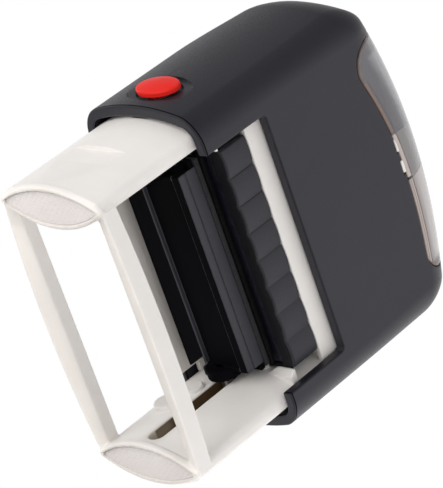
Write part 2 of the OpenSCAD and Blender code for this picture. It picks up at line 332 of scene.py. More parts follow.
WIN = [[-27.6, 95], [-27.6, 78.4]] \
    + [[-21.6 - 6 * math.cos(math.radians(a)), 76.6 - 5.7 * math.sin(math.radians(a))] for a in range(0, 91, 10)] \
    + [[x, 75.3 - (0.0070 if x < 4 else 0.0045) * (x - 4) ** 2] for x in range(-19, 22, 2)] \
    + [[22.6 + 4.2 * math.cos(math.radians(a)), 78 - 4.2 * math.sin(math.radians(a))] for a in range(90, -1, -10)] \
    + [[26.8, 95]]


def win_zone(p, g=0.0):
    return poly(p[:, 0], p[:, 2], WIN) + g


CLIPS = ((-4.9, -1.95), (0.2, 2.95))


def f_clips(p):
    return uni(*[box(p, (a, -16.82, 74.8), (b, -16.25, 75.6), 0.2) for a, b in CLIPS])


def f_case(p):
    q = both(p)
    out = case_outer(p)
    top = rc(out, win_zone(p), 0.25)
    body = np.minimum(top, case_outer(p, 2.0))
    pz = p.copy(); pz[:, 2] += 1.6
    inner = case_outer(pz, CT)
    d = rc(body, inner, 0.3)
    d = ri(d, CZ0 - p[:, 2], 0.35)
    # slots for the window's two clips, just under its front edge
    for a, b in CLIPS:
        d = rc(d, box(p, (a - 0.12, -20, 74.68), (b + 0.12, -16.2, 75.9), 0.15), 0.06)
    # front opening
    n = box(p, (-NX, -30, CZ0 - 20), (NX, -6, NZ), 0.9)
    d = rc(d, n, 0.22)
    # button seats
    r = np.hypot(q[:, 1], q[:, 2] - BTN_Z)
    dish = np.maximum((np.hypot(q[:, 1], (q[:, 2] - BTN_Z) / 0.6) - 8.2) * 0.72, (CX - 0.62) - q[:, 0])
    d = rc(d, dish, 0.12)
    ro = np.hypot(q[:, 1], (q[:, 2] - BTN_Z) / BTN_K) * 0.78
    seat = np.maximum(ro - (BTN_R + 0.24) * 0.78, (CX - 1.25) - q[:, 0])
    d = rc(d, seat, 0.12)
    d = np.maximum(d, -np.maximum(r - 2.4, 30 - q[:, 0]))
    d = np.maximum(d, -np.maximum(np.maximum(r - 3.5, 30 - q[:, 0]), q[:, 0] - (CX - 1.85)))
    posts = cyl(q, (STAKE_X, AY), 2, 2.6, BRIDGE_Z + BRIDGE_T, 82, 0.1)
    posts = np.minimum(posts, cyl(q, (STAKE_X, AY), 2, 1.45, BRIDGE_Z - 0.5, BRIDGE_Z + BRIDGE_T + 1, 0.1))
    posts = np.minimum(posts, cyl(q, (STAKE_X, AY), 2, 2.1, BRIDGE_Z - 0.8, BRIDGE_Z - 0.02, 0.35))
    return np.minimum(d, posts)


def f_window(p):
    return ri(rc(case_outer(p), case_outer(p, 1.2), 0.25), win_zone(p, 0.12 + 0.28 * np.clip((-20.5 - p[:, 0]) / 3, 0, 1)), 0.4)


def f_base(p):
    q = both(p)
    x, y, z = q[:, 0], q[:, 1], q[:, 2]
    ay = np.abs(y)
    wall = np.maximum(np.hypot(x - (REACH - WALL_R), y) - WALL_R, np.hypot(x - (BX + WALL_I), y) - WALL_I)
    wall = ri(wall, ay - WY, 1.0)
    wall = ri(wall, np.abs(z - (BASE_TOP + 0.6) / 2) - (BASE_TOP - 0.6) / 2, 0.5)
    foot = ri(lens(q, 1.2), np.abs(z - 0.75) - 0.75, 0.55)
    d = su(wall, foot, 0.45)
    # cross rails, straight inside and bowed outside
    arc = np.hypot(x, ay - (16.45 - 283.0)) - 283.0
    under = (-1.35 * (ay - 12) - 5 * (z - 1.35)) / 5.179
    rail = ri(ri(12.0 - ay, z - BAR_H, 0.35), ri(under, arc, 0.5), 0.35)
    rail = np.maximum(rail, x - 29.4)
    d = su(d, rail, 0.7)
    # upper frame
    d = su(d, box(q, (-1, -WY, 40.15), (28.6, -WY + 1.4, BASE_TOP), 0.3), 0.5)
    back = np.minimum(box(q, (-1, WY - 1.1, 30.3), (28.6, WY, BASE_TOP), 0.25), box(q, (-1, WY - 1.1, 23.4), (26.2, WY, 36), 0.4))
    d = np.minimum(d, back)
    d = np.minimum(d, box(q, (-1, -WY + 0.1, DECK_Z), (28.6, WY - 0.1, DECK_Z + DECK_T), 0.1))
    d = np.minimum(d, cyl(q, (SPRING_X, AY), 2, 2.5, DECK_Z + 1, DECK_Z + DECK_T + 4.5, 0.5))
    # flip cams, the upper one with a step towards the slot
    d = su(d, cyl(q, (6.8, 14.6), 0, 2.7, 24.7, 27.5, 0.3), 0.25)
    d = su(d, cyl(q, (4.9, 20.6), 0, 2.4, 24.7, 27.5, 0.3), 0.25)
    # cartridge ledge and catch
    d = np.minimum(d, box(q, (25.3, -6, TRAY0 - 1.6), (27.9, 12, TRAY0 - 0.05), 0.15))
    c = poly(x, z, [[25.2, 32.8], [25.2, 32.4], [26.4, 31.2], [29.5, 31.2], [29.5, 32.8]])
    c = ri(c, poly(x, y, [[25.2, -13.8], [25.2, -9.2], [26.3, -7], [29.5, -7], [29.5, -13.8]]), 0.2)
    d = su(d, c, 0.3)
    d = rc(d, np.hypot(np.hypot(x - 25.2, y + 12.9), z - 31.05) - 0.75, 0.12)
    # recess under the foot
    d = rc(d, np.maximum(lens(q, 0.0), z - 1.5), 0.14)
    # hollow of the wall, guide slot
    d = rc(d, box(q, (CAVX0, AY - CAVY, CAVZ), (CAVX1, AY + CAVY, 80), 0.2), 0.25)
    sl = np.maximum(slot_x(q, AY, 5.0, 26.6, 3.8), np.abs(x - 26.8) - 2.9)
    d = rc(d, sl, 0.3)
    # room for the cartridge above its ledge
    d = rc(d, box(q, (23, -20, TRAY0 - 0.05), (TRAY_GAP, WY - 1.1, 40.1), 0.1), 0.12)
    # corners taken off inside the narrowing top of the case
    d = rc(d, np.maximum((169.73 - 3.7 * x - 4.7 * ay) / 5.982, 36 - z), 0.3)
    d = rc(d, np.maximum((163.5 - 3.7 * x - 4.7 * ay) / 5.982, 45.5 - z), 0.3)
    # flat and pocket on the outer face
    d = rc(d, np.maximum(box(q, (FLAT_X, -10, 2.5), (40, 10, FLAT_Z), 0.1), FLAT_X + 0.08 * np.maximum(0, 11 - z) - x), 0.1)
    d = rc(d, box(q, (33.1, -2.2, 27.8), (40, 2.2, 37.4), 0.3), 0.1)
    return d


def f_tray(p):
    x, y, z = p[:, 0], p[:, 1], p[:, 2]
    d = box(p, (-25.9, -12.4, TRAY0), (25.9, 12.9, TRAY1), 0.35)
    k = np.clip(np.floor((x + 25) / 6.25), 0, 7)
    xc = -25 + 6.25 * (k + 0.5)
    lobe = np.hypot(x - xc, y - (GRIP_Y + 11.2)) - 11.2
    # the neighbouring lobes too, so that the distance is right near the joints
    for s in (-1, 1):
        kk = np.clip(k + s, 0, 7)
        lobe = np.minimum(lobe, np.hypot(x + 25 - 6.25 * (kk + 0.5), y - (GRIP_Y + 11.2)) - 11.2)
    g = ri(lobe, np.abs(x) - 25, 0.35)
    g = ri(g, np.abs(z - (TRAY0 - 0.3 + 3.6)) - 3.6, 0.4)
    g = ri(g, y + 12.3, 0.1)
    d = np.minimum(d, g)
    d = su(d, box(p, (-25, -13.6, TRAY0 - 0.3), (25, -10.5, TRAY0 + 0.9), 0.3), 0.3)
    # fine line where two lobes meet
    u = (x + 25) / 6.25
    near = np.abs(u - np.round(u)) * 6.25
    line = np.maximum(np.hypot(near, y + 13.98) - 0.13, np.abs(x) - 24)
    d = np.maximum(d, -line)
    d = rc(d, box(p, (-25.05, -10.35, TRAY0 - 2), (25.05, 10.35, TRAY0 + 5.1), 0.3), 0.3)
    return d


def f_platen(p):
    q = both(p)
    x = q[:, 0]; y = q[:, 1] - AY; z = q[:, 2] - AZ
    u = np.stack([x, y, z], 1)
    # block with a straight nose in front
    d = box(u, (-1, -8.3, -1.1), (22.8, 4.5, 3.9), 0.3)
    # rear rim with its ends cut back at an angle
    rim = ri(box(u, (-1, 3, -1.1), (23.6, 9.6, 2.2), 0.3), (x - 20.4 - (y - 4.2) * 0.593) * 0.86, 0.3)
    d = uni(d, rim, box(u, (-1, 4.0, 1.9), (22.8, 9.6, 3.9), 0.3))
    d = np.minimum(d, box(u, (-1, -8.0, 2.6), (24.4, 9.0, 3.9), 0.25))
    hub = np.hypot(y, z) - 3.9
    web = np.minimum(box(u, (22, -3.9, 0), (24.4, 4.2, 2.9), 0.1), box(u, (22, 0, -2.4), (24.4, 4.2, 1), 0.6))
    cheek = np.maximum(np.minimum(hub, web), np.abs(x - 23.4) - 1.0)
    cheek = ri(np.minimum(hub, web), np.abs(x - 23.2) - 1.2, 0.3)
    arm = box(u, (22, -6.4, 0.2), (24.0, 4.2, 2.9), 0.3)
    d = su(d, np.minimum(cheek, arm), 0.25)
    # shallow recess along the underside
    d = rc(d, box(u, (-30, -6.0, -3), (21.8, 3.7, -0.3), 0.15), 0.2)
    # fine line near the back edge of the rim
    d = np.maximum(d, -np.maximum(np.hypot(y - 8.9, z + 1.1) - 0.14, x - 21.8))
    # fine groove along the nose
    d = np.maximum(d, -(np.hypot(y + 8.3, z - 0.85) - 0.15))
    return np.maximum(d, -np.maximum(np.hypot(y, z) - 1.6, 22 - x))


def f_yoke(p):
    q = both(p)
    x, y, z = q[:, 0], q[:, 1] - AY, q[:, 2]
    u = np.stack([x, y, z], 1)
    top = BRIDGE_Z + BRIDGE_T
    d = np.minimum(box(u, (ARM0, -3.5, AZ), (ARM1, 3.5, top), 0.3), cyl(u, (0, AZ), 0, 3.5, ARM0, ARM1, 0.3))
    # lightening groove down the outer face of the arm
    d = rc(d, box(u, (ARM1 - 0.6, -1.8, AZ + 6), (40, 1.8, top - 5), 0.5), 0.2)
    d = su(d, box(u, (-1, -5, BRIDGE_Z), (ARM1, 5, top), 0.35), 0.6)
    d = np.minimum(d, cyl(u, (SPRING_X, 0), 2, 2.5, BRIDGE_Z - 4, BRIDGE_Z + 1, 0.5))
    d = rc(d, np.maximum(np.hypot(y, z - AZ) - 1.66, 28 - x), 0.2)
    return rc(d, np.maximum(np.hypot(x - STAKE_X, y) - 1.5, np.abs(z - BRIDGE_Z) - 5), 0.15)


def f_button(p):
    """oval cap, neck, flange and peg of the right-hand lock button"""
    x = np.abs(p[:, 0])
    r = np.hypot(p[:, 1], p[:, 2] - BTN_Z)
    ro = np.hypot(p[:, 1], (p[:, 2] - BTN_Z) / BTN_K)
    dome = np.hypot(x - (CX + 1.38 - 26), ro) - 26
    cap = ri(ri((ro - BTN_R) * 0.78, dome, 0.35), (CX - 0.3) - x, 0.12)
    neck = np.maximum(np.maximum(r - 2.2, (CX - 2.2) - x), x - (CX + 0.3))
    flange = ri(r - 3.1, np.abs(x - (CX - 2.085)) - 0.185, 0.1)
    peg = ri(r - 1.2, np.abs(x - (CX - 2.2)) - 0.5, 0.15)
    return uni(cap, neck, flange, peg)


def f_felt(p):
    d = box(p, (-25, -10.3, FELT), (25, 10.3, TRAY0 + 5.1), 0.5)
    # where the text plate has pressed into it
    dent = box(p, (-24.2, -9.2, FELT - 2), (24.2, 9.2, FELT + 0.12), 0.8)
    return si(d, -dent, 0.4)


def f_card(p):
    d = np.maximum(case_outer(p, 1.35), -case_outer(p, 1.75))
    return np.maximum(d, np.maximum(np.abs(p[:, 0]) - 25, 77.4 - p[:, 2]))


def f_cushion(p):
    return box(p, (-24, -8.3, AZ + 3.9), (24, 8.3, AZ + 5.1), 0.2)


def f_text(p):
    # a thin carrier with a blank raised field
    d = box(p, (-24, -9, AZ + 5.1), (24, 9, AZ + FACE - 0.5), 0.12)
    field = box(p, (-23.3, -8.3, AZ + 5.3), (23.3, 8.3, AZ + FACE), 0.12)
    return su(d, field, 0.25)


# ---------------------------------------------------------------- materials
def material(name):
    m = bpy.data.materials.new(name)
    m.use_nodes = True
    t = m.node_tree
    b = t.nodes["Principled BSDF"]
    return m, t, b


def node(t, kind, **kw):
    n = t.nodes.new(kind)
    for k, v in kw.items():
        if k.startswith("i_"):
            n.inputs[k[2:].replace("_", " ")].default_value = v
        else:
            setattr(n, k, v)
    return n


def obj_coord(t):
    return node(t, "ShaderNodeTexCoord").outputs["Object"]


def noise(t, co, scale, detail=3.0, rough=0.5, dist=0.0):
    n = node(t, "ShaderNodeTexNoise")
    n.inputs["Scale"].default_value = scale
    n.inputs["Detail"].default_value = detail
    n.inputs["Roughness"].default_value = rough
    n.inputs["Distortion"].default_value = dist
    t.links.new(co, n.inputs["Vector"])
    return n.outputs["Fac"]


def ramp(t, fac, stops):
    r = node(t, "ShaderNodeValToRGB")
    el = r.color_ramp.elements
    while len(el) < len(stops):
        el.new(0.5)
    for e, (pos, col) in zip(el, stops):
        e.position = pos
        e.color = (*col, 1) if len(col) == 3 else col
    t.links.new(fac, r.inputs["Fac"])
    return r.outputs["Color"]


def bump(t, height, strength, distance, prev=None):
    b = node(t, "ShaderNodeBump")
    b.inputs["Strength"].default_value = strength
    b.inputs["Distance"].default_value = distance
    t.links.new(height, b.inputs["Height"])
    if prev is not None:
        t.links.new(prev, b.inputs["Normal"])
    return b.outputs["Normal"]


def maprange(t, fac, a, b, c, d):
    m = node(t, "ShaderNodeMapRange")
    for k, v in zip(("From Min", "From Max", "To Min", "To Max"), (a, b, c, d)):
        m.inputs[k].default_value = v
    t.links.new(fac, m.inputs["Value"])
    return m.outputs["Result"]


def plastic(name, lo, hi, rough, grain, grain_depth, spec=0.5, coat=0.0, mottle=60, rough_var=0.06, sss=0.0):
    """moulded plastic: slow colour drift, fine spark-eroded grain and a little uneven gloss"""
    m, t, b = material(name)
    co = obj_coord(t)
    slow = noise(t, co, mottle, 4, 0.6)
    t.links.new(ramp(t, slow, [(0.3, lo), (0.7, hi)]), b.inputs["Base Color"])
    fine = noise(t, co, grain, 2, 0.55)
    t.links.new(maprange(t, fine, 0.3, 0.7, rough - rough_var, rough + rough_var), b.inputs["Roughness"])
    n = bump(t, fine, 0.35, grain_depth)
    n = bump(t, noise(t, co, 220, 2, 0.5), 0.10, 0.00006, n)
    t.links.new(n, b.inputs["Normal"])
    b.inputs["Specular IOR Level"].default_value = spec
    b.inputs["Coat Weight"].default_value = coat
    b.inputs["Coat Roughness"].default_value = 0.25
    if sss:
        b.inputs["Subsurface Weight"].default_value = sss
        b.inputs["Subsurface Radius"].default_value = (0.0012, 0.001, 0.0008)
    return m


def srgb(*c):
    return tuple((x / 255 / 12.92) if x / 255 <= 0.04045 else ((x / 255 + 0.055) / 1.055) ** 2.4 for x in c)


def mask_box(t, lo, hi, soft, jitter=0.0, scale=900):
    """1 inside an object-space box (metres), with soft edges; None leaves a side open"""
    co = obj_coord(t)
    sep = node(t, "ShaderNodeSeparateXYZ")
    t.links.new(co, sep.inputs["Vector"])
    out = None
    j = None
    if jitter:
        m = node(t, "ShaderNodeMath", operation="MULTIPLY_ADD")
        t.links.new(noise(t, co, scale, 5, 0.65), m.inputs[0])
        m.inputs[1].default_value = 2 * jitter; m.inputs[2].default_value = -jitter
        j = m.outputs[0]
    for k, ax in enumerate("XYZ"):
        src = sep.outputs[ax]
        if lo[k] is None and hi[k] is None:
            continue
        if k == 0:
            a = node(t, "ShaderNodeMath", operation="ABSOLUTE"); t.links.new(src, a.inputs[0]); src = a.outputs[0]
        if j is not None:
            a = node(t, "ShaderNodeMath", operation="ADD"); t.links.new(src, a.inputs[0]); t.links.new(j, a.inputs[1]); src = a.outputs[0]
        for side, v in ((0, lo[k]), (1, hi[k])):
            if v is None:
                continue
            r = maprange(t, src, v - soft, v + soft, 0.0 if side == 0 else 1.0, 1.0 if side == 0 else 0.0)
            if out is None:
                out = r
            else:
                m = node(t, "ShaderNodeMath", operation="MULTIPLY"); t.links.new(out, m.inputs[0]); t.links.new(r, m.inputs[1]); out = m.outputs[0]
    return out


# used for marks and also for painted shade and painted highlights
def stain_and_painted_light(m, k, colour, spec=None, rough=None):
    """paint colour where k is 1, over what is there"""
    t = m.node_tree
    b = t.nodes["Principled BSDF"]
    mix = node(t, "ShaderNodeMix", data_type="RGBA")
    t.links.new(k, mix.inputs["Factor"])
    t.links.new(b.inputs["Base Color"].links[0].from_socket, mix.inputs["A"])
    mix.inputs["B"].default_value = (*colour, 1)
    t.links.new(mix.outputs["Result"], b.inputs["Base Color"])
    for nm, v in (("Specular IOR Level", spec), ("Roughness", rough)):
        if v is None:
            continue
        f = node(t, "ShaderNodeMix", data_type="FLOAT")
        t.links.new(k, f.inputs["Factor"])
        old = b.inputs[nm]
        if old.links:
            t.links.new(old.links[0].from_socket, f.inputs["A"])
        else:
            f.inputs["A"].default_value = old.default_value
        f.inputs["B"].default_value = v
        t.links.new(f.outputs["Result"], old)


M_CASE = plastic("case_plastic", srgb(20, 20, 27), srgb(24, 24, 31), 0.40, 2600, 0.00003, spec=0.44)
M_CASE.node_tree.nodes["Principled BSDF"].inputs["Specular Tint"].default_value = (0.95, 0.935, 1.0, 1)
# painted shade: a near-black line just above the rim, standing in for the shadow in a fine groove
stain_and_painted_light(M_CASE, mask_box(M_CASE.node_tree, (None, None, 0.02738), (None, None, 0.02768), 0.00006), (0.002, 0.002, 0.0025), 0.05, 0.8)

M_DARK = plastic("tray_plastic", srgb(29, 29, 34), srgb(35, 35, 40), 0.46, 2600, 0.00003, spec=0.45)
M_DARK.node_tree.nodes["Principled BSDF"].inputs["Specular Tint"].default_value = (0.95, 0.935, 1.0, 1)
# painted shade and ink on the underside, behind the grip: near-black with a ragged edge that follows the lobes
def ink_and_shade_edge(t):
    """1 behind the eight lobes: a ragged edge that follows them"""
    co = obj_coord(t)
    sep = node(t, "ShaderNodeSeparateXYZ")
    t.links.new(co, sep.inputs["Vector"])

    def mth(op, a, b=None, c=None):
        n = node(t, "ShaderNodeMath", operation=op)
        for i, v in enumerate((a, b, c)):
            if v is None:
                continue
            if isinstance(v, (int, float)):
                n.inputs[i].default_value = v
            else:
                t.links.new(v, n.inputs[i])
        return n.outputs[0]

    dx = mth("SUBTRACT", mth("FRACT", mth("MULTIPLY_ADD", sep.outputs["X"], 160.0, 4.0)), 0.5)
    wave = mth("MULTIPLY", mth("MULTIPLY", dx, dx), 0.00625 * 0.00625 / 0.0224)
    y = mth("SUBTRACT", sep.outputs["Y"], wave)
    y = mth("ADD", y, mth("MULTIPLY_ADD", noise(t, co, 1100, 5, 0.65), 0.0006, -0.0003))
    k = maprange(t, y, -0.01395, -0.01375, 0.0, 1.0)
    return mth("MULTIPLY", k, maprange(t, sep.outputs["Z"], 0.0338, 0.0343, 1.0, 0.0))


# painted shade and ink: near-black on the tray's underside behind the grip
stain_and_painted_light(M_DARK, ink_and_shade_edge(M_DARK.node_tree), (0.0065, 0.0065, 0.0080), 0.22, 0.7)

M_BLACK = plastic("platen_plastic", srgb(47, 46, 53), srgb(55, 54, 61), 0.44, 2200, 0.00003, spec=0.45)
# painted shade: near-black over all but the lit front of the nose and the lit riser behind the recess
stain_and_painted_light(M_BLACK, mask_box(M_BLACK.node_tree, (None, -0.00815, None), (None, 0.00350, None), 0.00005), (0.0028, 0.0027, 0.0038), 0.03, 0.7)
stain_and_painted_light(M_BLACK, mask_box(M_BLACK.node_tree, (None, 0.00408, None), (None, None, None), 0.00008), (0.0028, 0.0027, 0.0038), 0.03, 0.7)
# painted shade on the upper part of the nose, under the tray
stain_and_painted_light(M_BLACK, mask_box(M_BLACK.node_tree, (None, None, 0.0303), (None, None, None), 0.0003), (0.012, 0.012, 0.014), 0.2, 0.6)
# painted highlight: a lighter line along the edge where the recess begins
stain_and_painted_light(M_BLACK, mask_box(M_BLACK.node_tree, (None, -0.00618, None), (None, -0.00592, 0.0259), 0.00006, 0.00012, 700), srgb(70, 69, 74), 0.2, 0.6)

M_WHITE = plastic("frame_plastic", srgb(240, 236, 231), srgb(245, 241, 237), 0.45, 1800, 0.00002, sss=0.10)
# darker brown inside the guide slots
stain_and_painted_light(M_WHITE, mask_box(M_WHITE.node_tree, (0.02585, -0.00215, 0.006), (0.0292, 0.00215, 0.0290), 0.00012, 0.0001, 300), srgb(88, 66, 40), 0.4, 0.4)
# painted light: a lighter tan over the slots' lower ends, where light reaches their end walls
stain_and_painted_light(M_WHITE, mask_box(M_WHITE.node_tree, (0.02585, -0.00215, 0.002), (0.0292, 0.00215, 0.0105), 0.0012), srgb(190, 176, 152), 0.4, 0.4)
M_PAD = plastic("foot_pad", srgb(243, 238, 236), srgb(248, 244, 242), 0.62, 3000, 0.00002, sss=0.05)
M_RED = plastic("button_red", srgb(232, 36, 28), srgb(238, 42, 33), 0.42, 2200, 0.00001, spec=0.16)


def metal(name):
    m, t, b = material(name)
    co = obj_coord(t)
    b.inputs["Metallic"].default_value = 1.0
    t.links.new(ramp(t, noise(t, co, 900, 3, 0.6), [(0.3, (0.42, 0.42, 0.44)), (0.7, (0.62, 0.62, 0.64))]), b.inputs["Base Color"])
    t.links.new(maprange(t, noise(t, co, 2500, 2, 0.5), 0.3, 0.7, 0.22, 0.38), b.inputs["Roughness"])
    t.links.new(bump(t, noise(t, co, 3500, 2, 0.5), 0.2, 0.00002), b.inputs["Normal"])
    return m


M_STEEL = metal("spring_steel")


def felt_mat():
    m, t, b = material("inked_felt")
    co = obj_coord(t)
    n1 = noise(t, co, 1500, 6, 0.7, 0.4)
    t.links.new(ramp(t, n1, [(0.25, (0.004, 0.004, 0.010)), (0.75, (0.020, 0.020, 0.034))]), b.inputs["Base Color"])
    t.links.new(maprange(t, noise(t, co, 140, 3, 0.6), 0.3, 0.7, 0.35, 0.8), b.inputs["Roughness"])
    t.links.new(bump(t, n1, 0.7, 0.0002), b.inputs["Normal"])
    return m


def rubber(name, lo, hi, scale, rough):
    m, t, b = material(name)
    co = obj_coord(t)
    t.links.new(ramp(t, noise(t, co, scale, 4, 0.6), [(0.3, lo), (0.7, hi)]), b.inputs["Base Color"])
    fine = noise(t, co, 2400, 2, 0.5)
    t.links.new(maprange(t, fine, 0.3, 0.7, rough - 0.08, rough + 0.08), b.inputs["Roughness"])
    t.links.new(bump(t, fine, 0.3, 0.00004), b.inputs["Normal"])
    return m


def foam_mat():
    m, t, b = material("cushion_foam")
    co = obj_coord(t)
    v = node(t, "ShaderNodeTexVoronoi")
    v.inputs["Scale"].default_value = 2600
    t.links.new(co, v.inputs["Vector"])
    t.links.new(ramp(t, v.outputs["Distance"], [(0.1, (0.012, 0.012, 0.014)), (0.6, (0.027, 0.027, 0.030))]), b.inputs["Base Color"])
    b.inputs["Roughness"].default_value = 0.9
    t.links.new(bump(t, v.outputs["Distance"], 0.6, 0.0001), b.inputs["Normal"])
    return m


def card_mat():
    m, t, b = material("index_card_paper")
    co = obj_coord(t)
    f = noise(t, co, 900, 5, 0.65)
    t.links.new(ramp(t, f, [(0.3, srgb(236, 235, 230)), (0.7, srgb(246, 245, 241))]), b.inputs["Base Color"])
    b.inputs["Roughness"].default_value = 0.75
    t.links.new(bump(t, f, 0.2, 0.00004), b.inputs["Normal"])
    return m


def smoke_mat():
    """tinted window: brown along its cut edge, two moulded seams, a rib beside the front edge, a painted highlight
    across the right pane and a painted reflection along the roof
    """
    m, t, b = material("smoke_window")
    co = obj_coord(t)
    sep = node(t, "ShaderNodeSeparateXYZ")
    t.links.new(co, sep.inputs["Vector"])

    def mth(op, a, c=None, d=None):
        n = node(t, "ShaderNodeMath", operation=op)
        for i, v in enumerate((a, c, d)):
            if v is None:
                continue
            if isinstance(v, (int, float)):
                n.inputs[i].default_value = v
            else:
                t.links.new(v, n.inputs[i])
        return n.outputs[0]

    X = mth("MULTIPLY", sep.outputs["X"], 1000.0); Y = mth("MULTIPLY", sep.outputs["Y"], 1000.0); Z = mth("MULTIPLY", sep.outputs["Z"], 1000.0)
    u = mth("SUBTRACT", X, 4.0)
    c = mth("MULTIPLY_ADD", mth("GREATER_THAN", u, 0.0), -0.0025, 0.0070)
    h = mth("ADD", mth("SUBTRACT", Z, 75.3), mth("MULTIPLY", mth("MULTIPLY", u, u), c))  # height over the front edge
    front = maprange(t, Y, -13.0, -12.0, 1.0, 0.0)

    def band(v, lo, hi, s=0.06):
        return mth("MULTIPLY", maprange(t, v, lo - s, lo + s, 0.0, 1.0), maprange(t, v, hi - s, hi + s, 1.0, 0.0))

    a = node(t, "ShaderNodeAttribute"); a.attribute_name = "edge"
    slow = noise(t, co, 45, 3, 0.5)
    col = ramp(t, slow, [(0.3, srgb(96, 95, 100)), (0.7, srgb(106, 104, 108))])

    def over(k, colour):
        nonlocal col
        mx = node(t, "ShaderNodeMix", data_type="RGBA")
        t.links.new(k, mx.inputs["Factor"]); t.links.new(col, mx.inputs["A"]); mx.inputs["B"].default_value = (*colour, 1)
        col = mx.outputs["Result"]

    # three panes with a slightly different tint
    over(maprange(t, X, -6.0, -5.8, 0.0, 1.0), srgb(136, 132, 132))
    over(maprange(t, X, 4.4, 4.6, 0.0, 1.0), srgb(158, 150, 148))
    # painted highlight: a bright band across the right pane
    over(mth("MULTIPLY", band(X, 4.6, 24.2, 0.3), band(h, 2.2, 6.0, 0.7)), srgb(196, 190, 188))
    over(maprange(t, X, 24.3, 25.2, 0.0, 1.0), srgb(104, 102, 108))
    # painted reflection: a lighter band along the roof of the left and middle panes
    over(mth("MULTIPLY", band(X, -24.0, 4.6, 0.5), maprange(t, h, 4.4, 6.6, 0.0, 1.0)), srgb(150, 148, 152))
    over(a.outputs["Fac"], srgb(112, 94, 86))
    # mouldings along the front edge
    over(mth("MULTIPLY", front, mth("MULTIPLY", band(h, 0.18, 0.75), band(X, -19.5, -6.0, 0.3))), srgb(128, 108, 98))
    over(mth("MULTIPLY", front, mth("MULTIPLY", band(h, 0.15, 1.25), band(X, -5.9, 4.5, 0.05))), srgb(204, 190, 184))
    over(mth("MULTIPLY", front, mth("MULTIPLY", band(h, 0.15, 1.15), band(X, 4.7, 24.0, 0.3))), srgb(192, 178, 172))
    over(mth("MULTIPLY", front, mth("MULTIPLY", band(h, 1.15, 1.38), band(X, -19.5, 24.3, 0.4))), srgb(86, 72, 68))
    over(mth("MULTIPLY", front, mth("MULTIPLY", band(h, 0.62, 0.74, 0.04), band(X, 4.7, 24.3, 0.3))), srgb(110, 88, 80))
    # seams across the front, leaning a little
    for x0, x1 in ((-6.15, -5.75), (4.75, 4.35)):
        lean = mth("MULTIPLY", mth("SUBTRACT", Z, 77.0), (x1 - x0) / 2.5)
        over(mth("MULTIPLY", front, band(mth("SUBTRACT", X, lean), x0 - 0.08, x0 + 0.08, 0.04)), srgb(78, 74, 76))
    over(mth("MULTIPLY", front, mth("MULTIPLY", band(X, 4.35, 4.85, 0.05), band(h, -0.2, 1.3, 0.05))), srgb(24, 22, 22))
    t.links.new(col, b.inputs["Base Color"])
    t.links.new(maprange(t, a.outputs["Fac"], 0, 1, 0.72, 0.9), b.inputs["Alpha"])
    b.inputs["Roughness"].default_value = 0.16
    b.inputs["IOR"].default_value = 1.49
    b.inputs["Coat Weight"].default_value = 0.3
    b.inputs["Coat Roughness"].default_value = 0.06
    t.links.new(bump(t, noise(t, co, 260, 2, 0.5), 0.06, 0.00005), b.inputs["Normal"])
    return m


M_FELT = felt_mat()
M_FOAM = foam_mat()
M_RUBBER = rubber("stamp_rubber", (0.0032, 0.0029, 0.0036), (0.0085, 0.0068, 0.0075), 300, 0.62)
M_RUBBER.node_tree.nodes["Principled BSDF"].inputs["Specular IOR Level"].default_value = 0.09
M_CARD = card_mat()
M_SMOKE = smoke_mat()

# ---------------------------------------------------------------- pieces
H = 0.30
me = solid("case", f_case, (-37.5, -17.2, CZ0 - 0.2), (37.5, 17.2, 83.6), H, 0.30)
add("case_moulding", me, "case", ("case_shell",), M_CASE)

me = solid("window", f_window, (-28, -17.2, 70.5), (27.2, 17.2, 85.6), 0.25, 0.5)
v = coords(me)
edge = np.clip(1 - (-win_zone(v) - 0.15) / 0.9, 0, 1) ** 0.7
at = me.attributes.new("edge", "FLOAT", "POINT")
at.data.foreach_set("value", edge.astype(np.float32))
add("smoke_window", me, "window", ("index_window",), M_SMOKE)

me = solid("clips", f_clips, (-5.2, -17.0, 74.6), (3.2, -16.0, 75.8), 0.1, 0.6, 0.03)
add("window_clips", me, "case", (), M_WHITE)

me = solid("base", f_base, (-34.6, -16.6, 0), (34.6, 16.6, BASE_TOP), 0.27, 0.35)
add("frame_moulding", me, "base", ("base_frame",), M_WHITE)

me = solid("tray", f_tray, (-26, -14.6, TRAY0 - 0.5), (26, 13, TRAY1 + 0.4), 0.24, 0.4)
add("cartridge_tray", me, "cartridge", ("ink_tray",), M_DARK)

me = solid("felt", f_felt, (-25.1, -10.4, FELT - 0.2), (25.1, 10.4, TRAY0 + 5.3), 0.3, 0.5)
add("inked_felt_pad", me, "cartridge", ("ink_felt",), M_FELT)

me = solid("platen_v", f_platen, (-24.6, -8.6, 22.8), (24.6, 9.9, 30.6), 0.2, 0.4)
add("platen_moulding", me, "platen_body", ("platen",), M_BLACK)

me = solid("cushion", f_cushion, (-24.2, -8.5, AZ + 3.7), (24.2, 8.5, AZ + 5.3), 0.2, 0.3)
add("foam_cushion", me, "platen_body", ("plate_cushion",), M_FOAM)

me = solid("text_pl", f_text, (-24.2, -9.2, AZ + 4.9), (24.2, 9.2, AZ + 6.7), 0.16, 0.3)
add("blank_text_plate", me, "platen_body", ("text_plate",), M_RUBBER)

me = solid("yoke", f_yoke, (-31.6, -5.3, AZ - 3.7), (31.6, 5.3, BRIDGE_Z + BRIDGE_T + 0.2), 0.3, 0.4)
add("yoke_moulding", me, "case", ("drive_yoke",), M_WHITE)

me = solid("card", f_card, (-25.2, -16, 77.2), (25.2, 16, 84.2), 0.2, 0.3)
add("blank_index_card", me, "case", ("index_card",), M_CARD)


